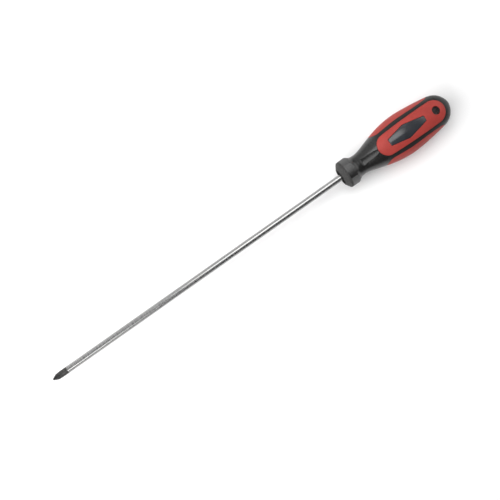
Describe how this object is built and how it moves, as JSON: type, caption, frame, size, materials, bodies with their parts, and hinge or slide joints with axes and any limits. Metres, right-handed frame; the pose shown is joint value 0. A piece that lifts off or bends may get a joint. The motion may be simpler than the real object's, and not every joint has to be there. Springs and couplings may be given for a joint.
{
  "type": "screwdriver",
  "caption": "Long cross-point screwdriver: round steel blade with a blackened tip in a red and black moulded grip with a hexagonal collar and a hanging hole.",
  "frame": {"origin": "the driver point, on the blade's axis", "axes": "+X along the blade towards the grip, +Y to the tool's left, +Z out of the front badge"},
  "size_m": [0.4144, 0.0376, 0.034],
  "materials": {
    "blade_steel": "bright satin alloy steel, chemically blackened over the last 14 mm at the point",
    "core_plastic": "hard black moulded plastic",
    "black_rubber": "black elastomer, fine satin texture",
    "red_rubber": "soft red elastomer, matt",
    "badge_plastic": "smooth satin black plastic, left plain"
  },
  "bodies": {
    "root": {"blade": "blade_steel", "handle_core": "core_plastic", "overmould": "black_rubber", "front_grip_panel": "red_rubber", "rear_grip_panel": "red_rubber", "left_grip_panel": "red_rubber", "right_grip_panel": "red_rubber", "front_badge": "badge_plastic", "rear_badge": "badge_plastic"}
  },
  "joints": []
}
